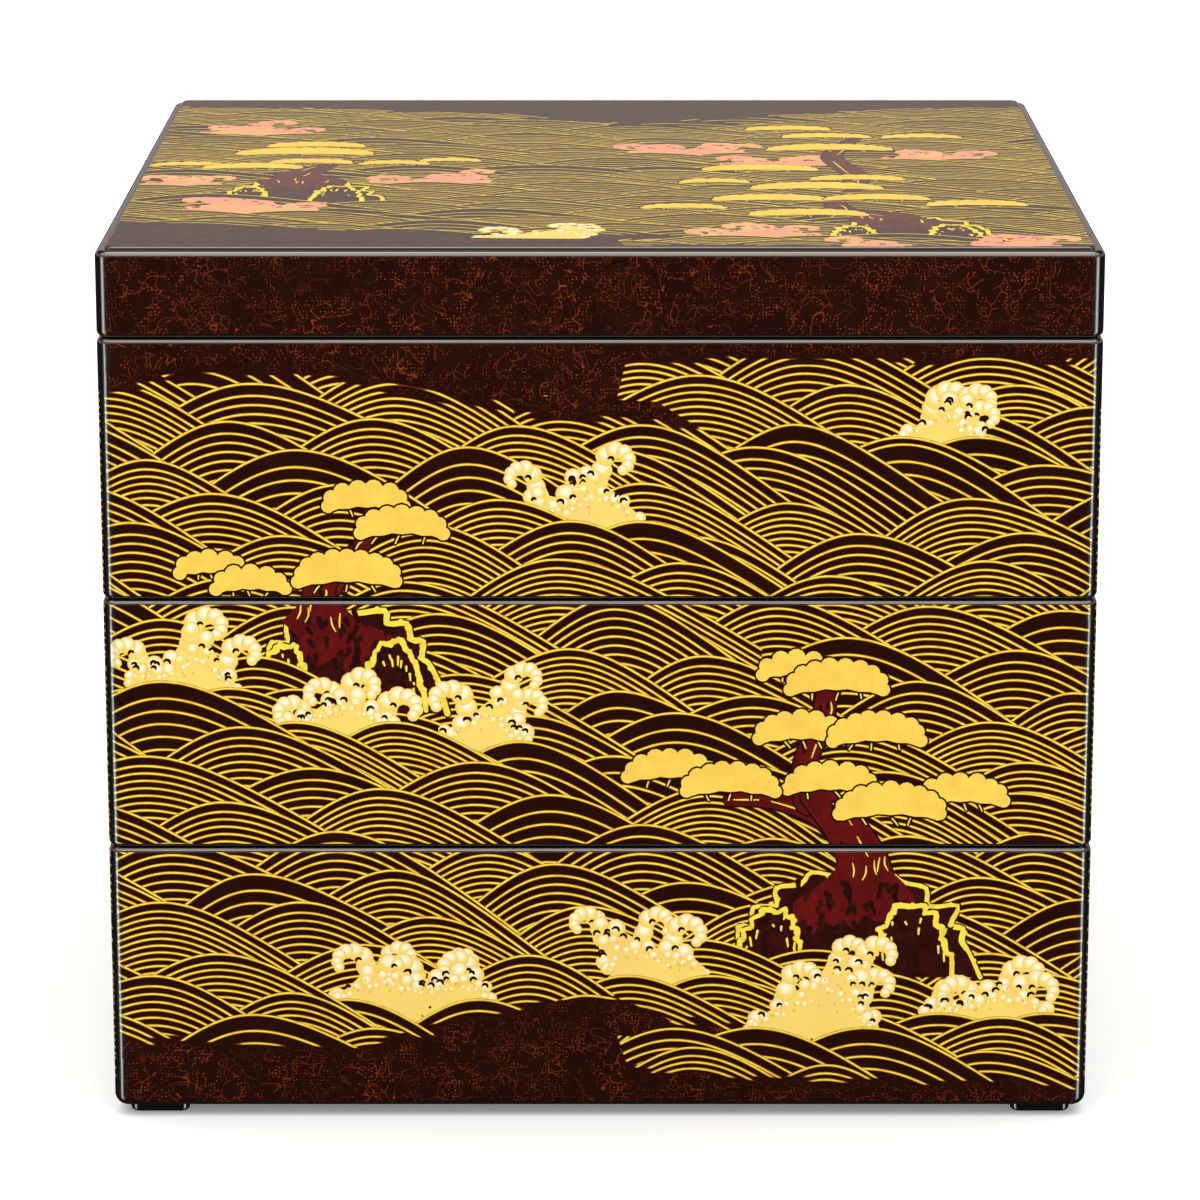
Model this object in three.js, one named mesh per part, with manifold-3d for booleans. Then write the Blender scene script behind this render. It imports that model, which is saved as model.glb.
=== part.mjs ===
// A square lacquer box in three tiers with a lid, as used for festive food.
// Each tier is an open box. Its rim carries a thin lip on the inner half of the wall, and the
// tier or lid above sits on the outer half, with a rebate underneath that takes the lip.
// The bottom tier stands on four low corner feet. The lid is hollow, with a slightly raised top panel.
// Millimetres, +Z up, origin on the ground under the middle of the box, front towards -Y.

import * as THREE from 'three';
import { mergeVertices } from 'three/addons/utils/BufferGeometryUtils.js';
import Module from 'manifold-3d';

const wasm = await Module();
wasm.setup();

// Driving dimensions.
const outerWidth = 197;
const outerDepth = 197;
const bottomTierHeight = 55;
const middleTierHeight = 51;
const topTierHeight = 52.5;
const lidHeight = 17.75;

const wallThickness = 5.5;
const floorThickness = 4;
const lidTopThickness = 4;
const outerCornerRadius = 3;
const innerCornerRadius = 3;
const edgeRadius = 1.2;
const bottomEdgeRadius = 2.4;

const lipHeight = 3;
const lipThickness = 2.4;
const lipClearance = 0.5;
const lipChamfer = 0.5;
const seatGap = 0.1;

const panelInset = 1.9;
const panelRise = 0.65;
const panelCornerRadius = 1.8;
const panelEdgeRadius = 0.4;

const footSize = 12;
const footHeight = 2;
const footInset = 3;
const footCornerRadius = 2;
const footEdgeRadius = 0.8;

// How finely round corners and edges are divided.
const cornerSegments = 5;
const edgeSegments = 3;
const cutOverrun = 1;

const lacquer = {
  lid: new THREE.MeshStandardMaterial({ color: 0x2c120c, roughness: 0.12, metalness: 0 }),
  tier: new THREE.MeshStandardMaterial({ color: 0x6b4a1c, roughness: 0.15, metalness: 0 }),
};

// A rectangle with round corners, centred on the origin.
function roundedRectangle(width, depth, radius) {
  const x = width / 2;
  const y = depth / 2;
  const shape = new THREE.Shape();
  shape.moveTo(x, -y + radius);
  shape.lineTo(x, y - radius);
  shape.absarc(x - radius, y - radius, radius, 0, Math.PI / 2);
  shape.lineTo(-x + radius, y);
  shape.absarc(-x + radius, y - radius, radius, Math.PI / 2, Math.PI);
  shape.lineTo(-x, -y + radius);
  shape.absarc(-x + radius, -y + radius, radius, Math.PI, 1.5 * Math.PI);
  shape.lineTo(x - radius, -y);
  shape.absarc(x - radius, -y + radius, radius, 1.5 * Math.PI, 2 * Math.PI);
  return shape;
}

// A closed solid from a geometry whose shared vertices are merged.
function solidOf(geometry) {
  const bare = geometry.index ? geometry.toNonIndexed() : geometry.clone();
  bare.deleteAttribute('normal');
  bare.deleteAttribute('uv');
  const merged = mergeVertices(bare, 1e-5);
  return new wasm.Manifold(new wasm.Mesh({
    numProp: 3,
    vertProperties: new Float32Array(merged.attributes.position.array),
    triVerts: new Uint32Array(merged.index.array),
  }));
}

// A straight block on a rounded rectangle, from one height to another.
function block(width, depth, radius, low, high) {
  const geometry = new THREE.ExtrudeGeometry(roundedRectangle(width, depth, radius), {
    depth: high - low,
    bevelEnabled: false,
    curveSegments: cornerSegments,
  });
  geometry.translate(0, 0, low);
  return solidOf(geometry);
}

// The same block with its upper and lower edges rounded.
function softBlock(width, depth, radius, edge, low, high, segments = edgeSegments) {
  const geometry = new THREE.ExtrudeGeometry(roundedRectangle(width, depth, radius), {
    depth: high - low - 2 * edge,
    bevelThickness: edge,
    bevelSize: edge,
    bevelOffset: -edge,
    bevelSegments: segments,
    curveSegments: cornerSegments,
  });
  geometry.translate(0, 0, low + edge);
  return solidOf(geometry);
}

const insideWidth = outerWidth - 2 * wallThickness;
const insideDepth = outerDepth - 2 * wallThickness;
const lipWidth = insideWidth + 2 * lipThickness;
const lipDepth = insideDepth + 2 * lipThickness;
const lipCornerRadius = innerCornerRadius + lipThickness;
const rebateWidth = lipWidth + 2 * lipClearance;
const rebateDepth = lipDepth + 2 * lipClearance;
const rebateHeight = lipHeight + lipClearance;

// The rebate in an underside that takes the lip below it.
function rebate() {
  return block(rebateWidth, rebateDepth, lipCornerRadius + lipClearance, -cutOverrun, rebateHeight);
}

// The lip that stands on a rim, with its upper edges eased.
function lip(rimHeight) {
  return softBlock(
    lipWidth, lipDepth, lipCornerRadius, lipChamfer,
    rimHeight - wallThickness, rimHeight + lipHeight, 1,
  );
}

// The hollow of a tier, open at the top.
function tierHollow(floorTop, rimHeight) {
  return block(insideWidth, insideDepth, innerCornerRadius, floorTop, rimHeight + lipHeight + cutOverrun);
}

function tier(height) {
  return softBlock(outerWidth, outerDepth, outerCornerRadius, edgeRadius, 0, height)
    .add(lip(height))
    .subtract(rebate())
    .subtract(tierHollow(rebateHeight + floorThickness, height));
}

function foot(alongX, alongY) {
  const x = alongX * (outerWidth / 2 - footInset - footSize / 2);
  const y = alongY * (outerDepth / 2 - footInset - footSize / 2);
  return softBlock(footSize, footSize, footCornerRadius, footEdgeRadius, 0, footHeight + floorThickness / 2)
    .translate([x, y, 0]);
}

// The bottom tier's underside is rounder than its rim, so its body is two soft blocks that overlap.
function bottomTier() {
  const middle = bottomTierHeight / 2;
  const lower = softBlock(
    outerWidth, outerDepth, outerCornerRadius, bottomEdgeRadius,
    0, middle + bottomEdgeRadius + cutOverrun,
  );
  const upper = softBlock(
    outerWidth, outerDepth, outerCornerRadius, edgeRadius,
    middle - edgeRadius - cutOverrun, bottomTierHeight,
  );
  let solid = lower.add(upper)
    .add(lip(bottomTierHeight))
    .subtract(tierHollow(floorThickness, bottomTierHeight))
    .translate([0, 0, footHeight]);
  for (const alongX of [-1, 1]) {
    for (const alongY of [-1, 1]) solid = solid.add(foot(alongX, alongY));
  }
  return solid;
}

function lid() {
  const shoulder = lidHeight - panelRise;
  const panelWidth = outerWidth - 2 * panelInset;
  const panelDepth = outerDepth - 2 * panelInset;
  const panelRoot = shoulder - edgeRadius;
  const underTop = lidHeight - lidTopThickness;
  return softBlock(outerWidth, outerDepth, outerCornerRadius, edgeRadius, 0, shoulder)
    .add(softBlock(panelWidth, panelDepth, panelCornerRadius, panelEdgeRadius, panelRoot, lidHeight))
    .subtract(rebate())
    .subtract(block(insideWidth, insideDepth, innerCornerRadius, -cutOverrun, underTop));
}

// A named mesh from a solid, standing at a height.
function piece(name, solid, material, height) {
  const { vertProperties, triVerts } = solid.getMesh();
  const geometry = new THREE.BufferGeometry();
  geometry.setAttribute('position', new THREE.BufferAttribute(vertProperties, 3));
  geometry.setIndex(new THREE.BufferAttribute(triVerts, 1));
  const mesh = new THREE.Mesh(geometry, material);
  mesh.name = name;
  mesh.position.z = height;
  return mesh;
}

const middleTierBase = footHeight + bottomTierHeight + seatGap;
const topTierBase = middleTierBase + middleTierHeight + seatGap;
const lidBase = topTierBase + topTierHeight + seatGap;

const box = new THREE.Group();
box.add(
  piece('bottom_tier', bottomTier(), lacquer.tier, 0),
  piece('middle_tier', tier(middleTierHeight), lacquer.tier, middleTierBase),
  piece('top_tier', tier(topTierHeight), lacquer.tier, topTierBase),
  piece('lid', lid(), lacquer.lid, lidBase),
);

export default box;
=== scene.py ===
import math
import random
from bisect import bisect_right
from collections import Counter, namedtuple

import bmesh
import bpy
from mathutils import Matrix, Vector
from mathutils.geometry import delaunay_2d_cdt
from mathutils.kdtree import KDTree


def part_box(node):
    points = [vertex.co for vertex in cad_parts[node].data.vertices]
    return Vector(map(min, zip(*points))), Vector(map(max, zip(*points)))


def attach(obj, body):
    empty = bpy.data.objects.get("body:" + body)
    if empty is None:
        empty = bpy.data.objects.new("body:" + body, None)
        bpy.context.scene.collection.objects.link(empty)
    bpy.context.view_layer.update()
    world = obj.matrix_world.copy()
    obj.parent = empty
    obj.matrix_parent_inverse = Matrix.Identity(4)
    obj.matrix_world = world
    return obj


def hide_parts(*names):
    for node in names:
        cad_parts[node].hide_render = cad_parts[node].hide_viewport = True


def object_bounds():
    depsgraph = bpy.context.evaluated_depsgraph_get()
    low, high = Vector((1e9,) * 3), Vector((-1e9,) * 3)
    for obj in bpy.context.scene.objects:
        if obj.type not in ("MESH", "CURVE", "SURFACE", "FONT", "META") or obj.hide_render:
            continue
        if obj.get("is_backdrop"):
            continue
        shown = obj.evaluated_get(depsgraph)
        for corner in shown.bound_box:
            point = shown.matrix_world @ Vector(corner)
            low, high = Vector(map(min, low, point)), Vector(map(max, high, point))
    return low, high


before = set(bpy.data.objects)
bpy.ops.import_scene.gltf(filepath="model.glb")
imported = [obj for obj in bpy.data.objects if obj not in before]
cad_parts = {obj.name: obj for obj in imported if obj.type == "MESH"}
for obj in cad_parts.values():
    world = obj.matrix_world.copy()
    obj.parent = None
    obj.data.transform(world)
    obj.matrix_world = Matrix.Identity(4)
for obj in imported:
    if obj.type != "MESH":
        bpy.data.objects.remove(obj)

# A square lacquer box in three tiers with a lid. Its sides and its top carry one flat picture in gold:
# rows of swells drawn in fine lines, with foam, rocks and pines.

bl_info = {
    "name": "Tiered lacquer box",
    "version": (1, 0, 0),
    "blender": (4, 5, 0),
    "location": "View3D > Sidebar > Lacquer Box",
    "description": "Builds a stacked lacquer box with a gold picture of waves",
    "category": "Add Mesh",
}

MM = 0.001
BODY = "root"
TIERS = ("bottom_tier", "middle_tier", "top_tier")
LID = "lid"
TIER_SLOT, LID_SLOT = "tier_lacquer", "lid_lacquer"
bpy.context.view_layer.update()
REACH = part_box(LID)[1][0]

# The sides of the box: the way each one looks, and the way its picture runs from left to right.
SIDES = {
    "front": (Vector((0, -1, 0)), Vector((1, 0, 0))),
    "right": (Vector((1, 0, 0)), Vector((0, 1, 0))),
    "back": (Vector((0, 1, 0)), Vector((-1, 0, 0))),
    "left": (Vector((-1, 0, 0)), Vector((0, -1, 0))),
}
UP = Vector((0, 0, 1))

# Finishes, in the order of a piece's material slots.
BLACK, FLECK, WAVE, GOLD, NEEDLE, FOAM, PEARL, TRUNK, ROCK, SHADE, BLUSH = range(11)

PICTURE_MAP, BAKE_MAP = "Picture", "OFBake"
SWELL, CUT, PITCH = "swell", "cut", "pitch"

# How finely the round corners and edges are divided, and how many of those steps the picture covers.
CORNER_STEPS, CORNER_COVERED = 12, 4
EDGE_STEPS, RIM_COVERED, BASE_COVERED = 8, 1, 2


def linear(red, green, blue):
    """A colour from its screen values of 0 to 255."""
    shares = (red / 255, green / 255, blue / 255)
    return tuple(c / 12.92 if c <= 0.04045 else ((c + 0.055) / 1.055) ** 2.4 for c in shares)


def colour(name, description, red, green, blue):
    return bpy.props.FloatVectorProperty(
        name=name, description=description, subtype="COLOR", size=3, min=0, max=1,
        default=linear(red, green, blue),
    )


def length(name, description, millimetres):
    return bpy.props.FloatProperty(
        name=name, description=description, default=millimetres * MM, min=0, unit="LENGTH", precision=5,
    )


def brightness(name, description, default):
    return bpy.props.FloatProperty(name=name, description=description, default=default, min=0)


class LacquerBoxSizes(bpy.types.PropertyGroup):
    corner: length("Corner", "Radius of the upright corners", 3)
    edge: length("Edge", "Radius of the rims and undersides", 1.2)
    bottom_edge: length("Bottom edge", "Radius under the bottom tier", 2.4)
    wall: length("Wall", "Thickness of the walls", 5.5)
    floor: length("Floor", "Thickness of the floors", 4)
    inner_corner: length("Inner corner", "Radius of the corners inside", 3)
    lip_height: length("Lip height", "How far the lip stands above the rim", 3)
    lip_thickness: length("Lip thickness", "Thickness of the lip", 2.4)
    lip_gap: length("Lip gap", "Room between a lip and the rebate above it", 0.5)
    lip_chamfer: length("Lip chamfer", "Eased edge of the lip", 0.5)
    lid_top: length("Lid top", "Thickness of the lid's top", 4)
    panel_inset: length("Panel inset", "Shoulder round the lid's raised panel", 1.9)
    panel_rise: length("Panel rise", "Height of the raised panel over the shoulder", 0.65)
    panel_corner: length("Panel corner", "Corner radius of the raised panel", 1.8)
    panel_edge: length("Panel edge", "Edge radius of the raised panel", 0.4)
    foot: length("Foot", "Side of a foot", 12)
    foot_height: length("Foot height", "Height of a foot", 2)
    foot_inset: length("Foot inset", "How far a foot stands in from the sides", 3)
    foot_corner: length("Foot corner", "Corner radius of a foot", 2)
    foot_edge: length("Foot edge", "Edge radius of a foot", 0.8)


class LacquerBoxPicture(bpy.types.PropertyGroup):
    line: length("Line", "Width of a gold line", 0.37)
    pitch: length("Pitch", "Spacing of the lines in a medium swell", 1.6)
    row: length("Row", "Height between two rows of swells", 7.8)
    column: length("Column", "Distance between two swells of a row", 29)
    keyline: length("Keyline", "Dark line round the needle pads", 0.38)
    contour: length("Contour", "Width of the gold outline of a rock", 1.1)
    seed: bpy.props.IntProperty(name="Seed", description="Seed of the hand's unevenness", default=4)


class LacquerBoxColours(bpy.types.PropertyGroup):
    black: colour("Black", "Lacquer of edges, insides and feet", 8, 7, 8)
    ground: colour("Ground", "Lacquer under the picture", 39, 13, 6)
    rust: colour("Rust", "Fine fleck in the bare lacquer", 172, 68, 20)
    gold: colour("Gold", "Gold of the lines", 255, 226, 62)
    amber: colour("Amber", "Edge of a gold line", 160, 68, 16)
    needle: colour("Needles", "Gold of the pine's needle pads", 255, 214, 78)
    foam: colour("Foam", "Pale gold of the foam", 255, 219, 104)
    blush: colour("Blush", "Pink of the foam on the lid", 248, 164, 128)
    pearl: colour("Pearl", "Light middle of a drop of foam", 255, 250, 226)
    trunk: colour("Trunk", "Red of trunks", 106, 18, 17)
    rock: colour("Rock", "Red of rocks", 60, 16, 13)


class LacquerBoxStage(bpy.types.PropertyGroup):
    lens: bpy.props.FloatProperty(name="Lens", description="Focal length in millimetres", default=151.2)
    distance: length("Distance", "From the camera to the front of the box", 966)
    height: length("Height", "Height of the camera over the floor", 351.5)
    tilt: bpy.props.FloatProperty(
        name="Tilt", description="How far the camera looks down", default=math.radians(14.14),
        unit="ROTATION",
    )
    sky: brightness("Sky", "Strength of the light from above", 2.6)
    glow: brightness("Glow", "Light that the floor gives by itself", 0.2)
    haze: brightness("Haze", "Glow mirrored in the lid at a low angle", 0.33)
    strips: brightness("Strips", "Glow mirrored in upright corners", 1.7)
    ring: brightness("Ring", "Glow mirrored in the rims", 1.6)
    overhead: brightness("Overhead", "Glow mirrored in the lid's edges", 1.7)


class Wire:
    """An output in a node tree. Python's operators on it add Math nodes."""

    def __init__(self, nodes, socket):
        self.nodes, self.socket = nodes, socket

    def maths(self, operation, *others, clamp=False):
        values = dict(enumerate((self, *others)))
        return self.nodes.add("ShaderNodeMath", {"operation": operation, "use_clamp": clamp}, values)

    def __add__(self, other):
        return self.maths("ADD", other)

    def __sub__(self, other):
        return self.maths("SUBTRACT", other)

    def __rsub__(self, other):
        return (self * -1).maths("ADD", other)

    def __mul__(self, other):
        return self.maths("MULTIPLY", other)

    def __truediv__(self, other):
        return self.maths("DIVIDE", other)

    def __neg__(self):
        return self * -1

    def __abs__(self):
        return self.maths("ABSOLUTE")

    __radd__, __rmul__ = __add__, __mul__

    def root(self):
        return self.maths("SQRT")

    def least(self, other):
        return self.maths("MINIMUM", other)

    def most(self, other):
        return self.maths("MAXIMUM", other)

    def clamped(self):
        return self.maths("ADD", 0, clamp=True)

    def rising(self, middle, width):
        """0 where the value is well below the middle, 1 well above it, and a slope of that width between."""
        return ((self - middle) / width + 0.5).clamped()

    def falling(self, middle, width):
        """1 where the value is well below the middle, 0 well above it, and a slope of that width between."""
        return ((middle - self) / width + 0.5).clamped()


class Nodes:
    """The node tree of a material or a world, written as expressions."""

    def __init__(self, owner):
        owner.use_nodes = True
        self.owner, self.tree = owner, owner.node_tree
        self.tree.nodes.clear()

    def add(self, kind, settings=(), values=(), output=0):
        node = self.tree.nodes.new(kind)
        for name, setting in dict(settings).items():
            setattr(node, name, setting)
        for socket, value in dict(values).items():
            if isinstance(value, Wire):
                self.tree.links.new(value.socket, node.inputs[socket])
            else:
                node.inputs[socket].default_value = value
        return Wire(self, node.outputs[output]) if node.outputs else None

    def parts(self, vector):
        node = self.add("ShaderNodeSeparateXYZ", (), {0: vector}).socket.node
        return [Wire(self, output) for output in node.outputs]

    def attribute(self, name, output="Vector"):
        return self.add("ShaderNodeAttribute", {"attribute_name": name}, output=output)

    def place(self, scale=1.0):
        """Object coordinates in millimetres, times a scale."""
        coordinates = self.add("ShaderNodeTexCoord", output="Object")
        return self.add("ShaderNodeMapping", (), {"Vector": coordinates, "Scale": (scale / MM,) * 3})

    def picture_place(self):
        return self.parts(self.add("ShaderNodeUVMap", {"uv_map": PICTURE_MAP}))[:2]

    def noise(self, vector, scale, detail=2.0, distortion=0.0):
        values = {"Vector": vector, "Scale": scale, "Detail": detail, "Distortion": distortion}
        return self.add("ShaderNodeTexNoise", (), values)

    def mix(self, share, first, second):
        first, second = (c if isinstance(c, Wire) else (*c, 1) for c in (first, second))
        return self.add("ShaderNodeMix", {"data_type": "RGBA"}, {0: share, 6: first, 7: second}, output=2)

    def corners(self):
        """1 on the round upright corners of the box, 0 elsewhere."""
        x, y, _ = self.parts(self.place())
        return abs(x).least(abs(y)).rising(REACH / MM - 2.7, 0.4)

    def finish(self, base, roughness, coat=None):
        """A lacquered surface. Its upright corners are polished brighter."""
        values = {
            "Base Color": base, "Roughness": roughness,
            "Coat Weight": self.corners() if coat is None else coat,
            "Coat Roughness": COAT_ROUGHNESS, "Coat IOR": COAT_IOR,
        }
        surface = self.add("ShaderNodeBsdfPrincipled", (), values)
        self.add("ShaderNodeOutputMaterial", (), {"Surface": surface})
        return self.owner


def material(name):
    return Nodes(bpy.data.materials.new(name))


def times(factor, shade):
    return tuple(factor * c for c in shade)


LACQUER_ROUGHNESS = 0.1
GILT_ROUGHNESS = 0.27
COAT_ROUGHNESS, COAT_IOR = 0.17, 3.0


def black_lacquer(colours):
    s = material("black_lacquer")
    cloud = s.noise(s.place(0.05), 1.0, 3)
    base = s.mix(cloud, times(0.7, colours.black), times(1.4, colours.black))
    return s.finish(base, cloud * 0.06 + LACQUER_ROUGHNESS, coat=1.0)


def ground_colour(s, colours):
    """The brown lacquer under the gold, a little cloudy."""
    cloud = s.noise(s.place(0.09), 1.0, 4)
    grain = s.noise(s.place(1.1), 1.0, 3)
    share = (cloud * 1.6 + grain * 0.5 - 0.55).clamped()
    return s.mix(share, times(0.75, colours.ground), times(1.25, colours.ground))


# Spacing of the hairlines and of the dots in the fleck, in millimetres, and half their widths.
HAIR_CELL, HAIR_WIDTH = 2.8, 0.035
DOT_CELL, DOT_WIDTH = 0.7, 0.14


def fleck_share(s):
    """Curly broken hairlines and rows of dots, as of dust strewn under the lacquer."""
    place = s.place()
    stray = s.add("ShaderNodeTexNoise", (), {"Vector": place, "Scale": 0.22, "Detail": 0.0}, output="Color")
    curled = s.add("ShaderNodeVectorMath", {"operation": "MULTIPLY_ADD"}, {0: stray, 1: (8,) * 3, 2: place})
    cells = s.add(
        "ShaderNodeTexVoronoi", {"feature": "DISTANCE_TO_EDGE"}, {"Vector": curled, "Scale": 1 / HAIR_CELL},
    ) * HAIR_CELL
    hair = cells.falling(HAIR_WIDTH, 0.05) * s.noise(place, 0.45, 0).rising(0.5, 0.05)
    dots = {"Vector": place, "Scale": 1 / DOT_CELL, "Randomness": 0.5}
    grid = s.add("ShaderNodeTexVoronoi", (), dots) * DOT_CELL
    rows = s.noise(curled, 0.4, 0).rising(0.53, 0.04)
    speck = grid.falling(DOT_WIDTH, 0.08) * rows
    strength = (s.noise(place, 0.12, 1) * 2 - 0.35).clamped()
    return hair.most(speck) * strength


def fleck_lacquer(colours):
    s = material("fleck_lacquer")
    base = s.mix(fleck_share(s) * 0.8, ground_colour(s, colours), colours.rust)
    return s.finish(base, s.noise(s.place(0.3), 1.0) * 0.03 + LACQUER_ROUGHNESS)


def line_colour(s, colours):
    worn = s.noise(s.place(), 0.5, 3)
    return s.mix((worn * 2.4 - 1.1).clamped() * 0.4, colours.gold, colours.amber)


# The dark band under a swell's crest line, and how unevenly lines end at a cut, in pitches and millimetres.
CREST_BAND = 0.3
UNEVEN_END = 2.4
NO_CUT = (0, 0, -9)


def wave_lines(colours, picture):
    """Lines that follow a swell's crest downwards, one pitch apart, and stop at the swell's cuts."""
    s = material("wave_lines")
    u, v = s.picture_place()
    left, right, crest = s.parts(s.attribute(SWELL))
    along, across, start = s.parts(s.attribute(CUT))
    pitch = s.attribute(PITCH, "Fac")
    fall = right + (left - right) * u.maths("LESS_THAN", 0)
    reach = (u * u + crest * crest).root()
    depth = -(v + fall * (reach - crest))
    slope = fall * u / reach
    lean = (slope * slope + 1).root()
    band = pitch * CREST_BAND
    number = ((depth - band) / pitch).maths("ROUND").most(1)
    first = abs(depth)
    off = first.least(abs(depth - band - number * pitch)) / lean
    uneven = s.add("ShaderNodeTexWhiteNoise", {"noise_dimensions": "1D"}, {"W": number * 3.7 + pitch})
    past = (along * u + across * v + start + uneven * UNEVEN_END).most(0)
    gap = (off * off + past * past).root()
    half = s.noise(s.place(), 0.35, 2) * 0.1 + (picture.line / MM / 2 - 0.05)
    core = gap.falling(half, 0.09)
    fringe = gap.falling(half + 0.12, 0.2)
    bare = (past * 0.35).clamped()
    ground = s.mix(fleck_share(s) * bare * 0.8, ground_colour(s, colours), colours.rust)
    base = s.mix(core, s.mix(fringe * 0.8, ground, colours.amber), line_colour(s, colours))
    return s.finish(base, core * (GILT_ROUGHNESS - LACQUER_ROUGHNESS) + LACQUER_ROUGHNESS)


def gold_line(colours):
    s = material("gold_line")
    return s.finish(line_colour(s, colours), GILT_ROUGHNESS)


def needle_gold(colours):
    s = material("needle_gold")
    cloud = s.noise(s.place(), 0.3, 3)
    base = s.mix((cloud * 1.6 - 0.5).clamped() * 0.22, colours.needle, colours.amber)
    return s.finish(base, GILT_ROUGHNESS)


def foam_gold(name, first, second):
    s = material(name)
    cloud = s.noise(s.place(), 0.12, 2)
    base = s.mix((cloud * 3 - 1.35).clamped() * 0.5, first, second)
    return s.finish(base, GILT_ROUGHNESS)


def pearl_drop(colours):
    """A drop of foam: pale in the middle, with a thin amber rim."""
    s = material("pearl_drop")
    u, v = s.picture_place()
    from_middle = (u * u + v * v).root()
    low = v - 0.25
    light = (u * u + low * low).root().falling(0.45, 0.6)
    base = s.mix(light, colours.foam, colours.pearl)
    rim = from_middle.rising(0.95, 0.3) * 0.6
    return s.finish(s.mix(rim, base, linear(214, 142, 60)), GILT_ROUGHNESS)


def red_lacquer(name, red, ground, amount):
    s = material(name)
    cloud = s.noise(s.place(), 0.3, 4, 0.8)
    base = s.mix((cloud * 2.6 - 0.9).clamped() * amount, red, times(0.7, ground))
    return s.finish(base, LACQUER_ROUGHNESS)


def shade_lacquer(colours):
    s = material("shade_lacquer")
    return s.finish(ground_colour(s, colours), LACQUER_ROUGHNESS)


def make_finishes(scene):
    """The box's materials, in the order of the finishes above. They are made once."""
    if "black_lacquer" in bpy.data.materials:
        return [bpy.data.materials[name] for name in scene["lacquer_finishes"]]
    colours = scene.lacquer_colours
    finishes = [
        black_lacquer(colours),
        fleck_lacquer(colours),
        wave_lines(colours, scene.lacquer_picture),
        gold_line(colours),
        needle_gold(colours),
        foam_gold("foam_gold", colours.foam, linear(248, 196, 128)),
        pearl_drop(colours),
        red_lacquer("trunk_red", colours.trunk, colours.ground, 0.5),
        red_lacquer("rock_red", colours.rock, colours.ground, 0.9),
        shade_lacquer(colours),
        foam_gold("foam_blush", colours.blush, colours.foam),
    ]
    scene["lacquer_finishes"] = [finish.name for finish in finishes]
    return finishes


Figure = namedtuple("Figure", "finish outline middle size turn swell cut pitch")


class Picture:
    """Flat figures in millimetres, painted from back to front."""

    def __init__(self):
        self.figures = []

    def paint(
        self, finish, outline, middle=(0, 0), size=1.0, turn=0.0, swell=(0, 0, 1), cut=NO_CUT, pitch=1.0,
    ):
        """Adds a closed outline. Its own coordinates start at the middle, are turned, and are divided
        by the size."""
        doubled_area = sum(a[0] * b[1] - b[0] * a[1] for a, b in zip(outline, outline[1:] + outline[:1]))
        outline = outline if doubled_area > 0 else outline[::-1]
        self.figures.append(Figure(finish, outline, middle, size, turn, swell, cut, pitch))

    def dot(self, finish, x, y, radius):
        sides = 8 if radius < 0.5 else 10 if radius < 1.2 else 12
        turn = 7 * x + y
        outline = []
        for k in range(sides):
            angle = turn + math.tau * k / sides
            outline.append((x + radius * math.cos(angle), y + radius * math.sin(angle)))
        self.paint(finish, outline, (x, y), radius)

    def ribbon(self, finish, points, widths, steps):
        """A band along a smooth path, with a width at each of its points, and round ends. It is made of
        quads, and of a dot where it bends too sharply for one."""
        path = smooth_path(points, widths, steps)
        sides = []
        for k, (x, y, wide) in enumerate(path):
            before, after = path[max(k - 1, 0)], path[min(k + 1, len(path) - 1)]
            dx, dy = after[0] - before[0], after[1] - before[1]
            size = 2 * math.hypot(dx, dy) or 1.0
            nx, ny = -dy / size * wide, dx / size * wide
            sides.append(((x + nx, y + ny), (x - nx, y - ny)))
        for k, ((a, b), (c, d)) in enumerate(zip(sides, sides[1:])):
            quad = [b, d, c, a]
            if is_convex(quad):
                self.paint(finish, quad)
            else:
                self.dot(finish, *path[k][:2], path[k][2] / 2)
        for x, y, wide in (path[0], path[-1]):
            if wide > 0.3:
                self.dot(finish, x, y, wide / 2)

    def window(self, outline, folds):
        """The part inside an outline as points and triangles, each triangle with its topmost figure.
        Folds are straight lines that no triangle crosses."""
        low, high = (tuple(pick(p[k] for p in outline) for k in (0, 1)) for pick in (min, max))
        sheets = [(None, outline)]
        for figure in self.figures:
            xs, ys = zip(*figure.outline)
            if min(xs) < high[0] and max(xs) > low[0] and min(ys) < high[1] and max(ys) > low[1]:
                sheets.append((figure, figure.outline))
        points, faces, edges = [], [], []
        for figure, ring in sheets:
            faces.append(list(range(len(points), len(points) + len(ring))))
            points += [Vector(p) for p in ring]
        for fold in folds:
            edges.append((len(points), len(points) + 1))
            points += [Vector(p) for p in fold]
        spots, _, pieces, _, _, owners = delaunay_2d_cdt(points, edges, faces, 1, 1e-4)
        kept = []
        for piece, owner in zip(pieces, owners):
            if 0 in owner:
                x, y = sum((spots[k] for k in piece), Vector((0, 0))) / 3
                top = next(k for k in sorted(owner, reverse=True) if k == 0 or is_inside(sheets[k][1], x, y))
                kept.append((piece, sheets[top][0]))
        return spots, kept


def is_inside(outline, x, y):
    """Whether a place lies inside an outline."""
    inside = False
    (x0, y0) = outline[-1]
    for x1, y1 in outline:
        if (y0 > y) != (y1 > y) and x < x0 + (x1 - x0) * (y - y0) / (y1 - y0):
            inside = not inside
        x0, y0 = x1, y1
    return inside


def is_convex(outline):
    """Whether an outline turns left at every corner."""
    ahead = outline[1:] + outline[:1]
    beyond = outline[2:] + outline[:2]
    return all(
        (b[0] - a[0]) * (c[1] - b[1]) - (b[1] - a[1]) * (c[0] - b[0]) > 1e-6
        for a, b, c in zip(outline, ahead, beyond)
    )


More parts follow.
